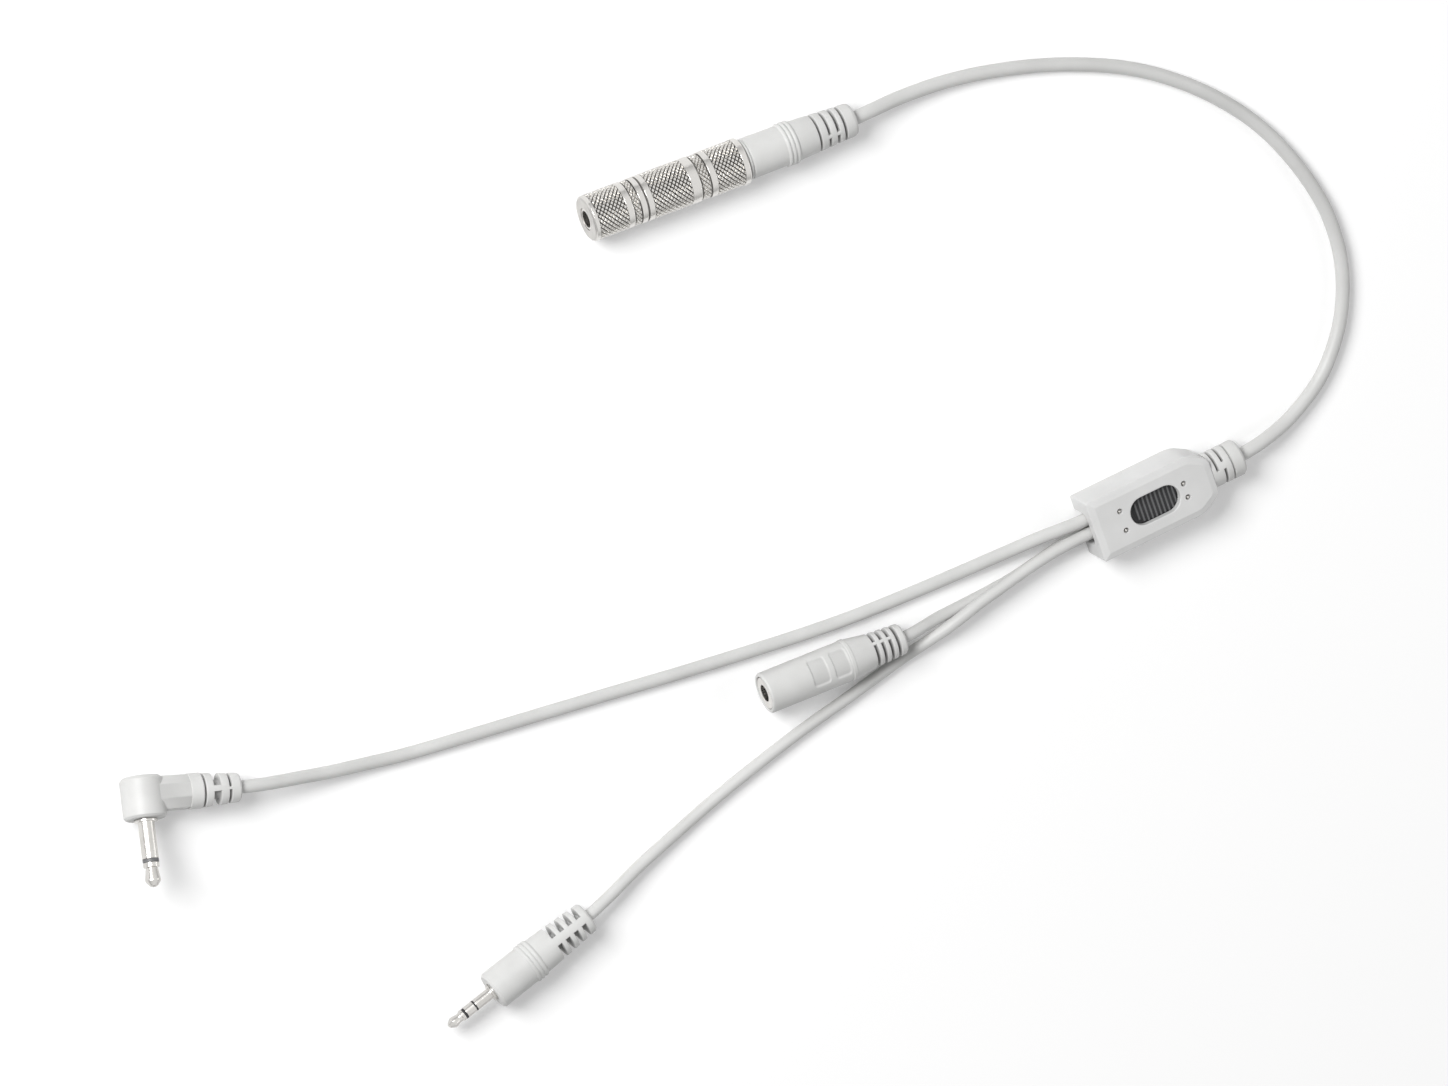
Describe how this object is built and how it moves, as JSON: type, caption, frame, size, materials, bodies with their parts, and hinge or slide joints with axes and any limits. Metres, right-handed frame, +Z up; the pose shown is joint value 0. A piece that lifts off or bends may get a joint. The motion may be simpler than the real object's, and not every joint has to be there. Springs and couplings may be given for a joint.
{
  "type": "headset adapter lead",
  "caption": "Audio adapter lead with a knurled socket coupler on a plug, a small slide-switch box in the line, and tails ending in plugs and an in-line socket.",
  "frame": {"origin": "middle of the switch box's flat underside, on the surface that the lead lies on", "axes": "+X along the switch box towards its strain relief, +Z up from the surface, +Y to the side on which the coupler lies"},
  "size_m": [0.2949, 0.1551, 0.0141],
  "materials": {
    "pale_pvc": "soft moulded PVC, satin",
    "case_plastic": "moulded, fine texture",
    "dark_plastic": "moulded, satin",
    "nickel": "turned brass, nickel plated",
    "spring_brass": "rolled strip",
    "steel": "tin-plated sheet",
    "board_green": "solder mask",
    "chip_black": "coated chip",
    "chip_ceramic": "fired ceramic chip"
  },
  "bodies": {
    "lead": {"angle_plug_insulator": "dark_plastic", "angle_plug_moulding": "pale_pvc", "angle_plug_sleeve_contact": "nickel", "angle_plug_tip": "nickel", "blocking_capacitor": "chip_ceramic", "box_strain_relief": "pale_pvc", "case_base": "case_plastic", "case_cover": "case_plastic", "circuit_board": "board_green", "cover_pin_1": "nickel", "cover_pin_2": "nickel", "cover_pin_3": "nickel", "cover_pin_4": "nickel", "inline_jack_bush": "nickel", "inline_jack_lining": "dark_plastic", "inline_jack_moulding": "pale_pvc", "inline_jack_ring_leaf": "spring_brass", "inline_jack_tip_leaf": "spring_brass", "lead_plug_front_insulator": "dark_plastic", "lead_plug_moulding": "pale_pvc", "lead_plug_rear_insulator": "dark_plastic", "lead_plug_ring": "nickel", "lead_plug_sleeve": "nickel", "lead_plug_tip": "nickel", "main_cord": "pale_pvc", "matching_resistor_1": "chip_black", "matching_resistor_2": "chip_black", "straight_plug_front_insulator": "dark_plastic", "straight_plug_moulding": "pale_pvc", "straight_plug_rear_insulator": "dark_plastic", "straight_plug_ring": "nickel", "straight_plug_sleeve": "nickel", "straight_plug_tip": "nickel", "switch_base": "dark_plastic", "switch_frame": "steel", "switch_terminal_1": "spring_brass", "switch_terminal_2": "spring_brass", "switch_terminal_3": "spring_brass", "tail_a_cord": "pale_pvc", "tail_b_cord": "pale_pvc", "tail_c_cord": "pale_pvc", "tail_gland": "dark_plastic"},
    "switch": {"switch_knob": "dark_plastic", "switch_slider": "dark_plastic", "switch_contact": "spring_brass"},
    "coupler": {"coupler_shell": "nickel", "coupler_core": "dark_plastic", "front_socket_bush": "nickel", "rear_socket_bush": "nickel", "tip_leaf": "spring_brass", "ring_leaf": "spring_brass"}
  },
  "joints": [
    {"name": "switch_slide", "type": "slide", "parent": "lead", "child": "switch", "axis": [-1, 0, 0], "range_m": [0, 0.0012]},
    {"name": "coupler_pull", "type": "slide", "parent": "lead", "child": "coupler", "axis": [-0.9963, 0.0854, 0], "range_m": [0, 0.016]}
  ]
}
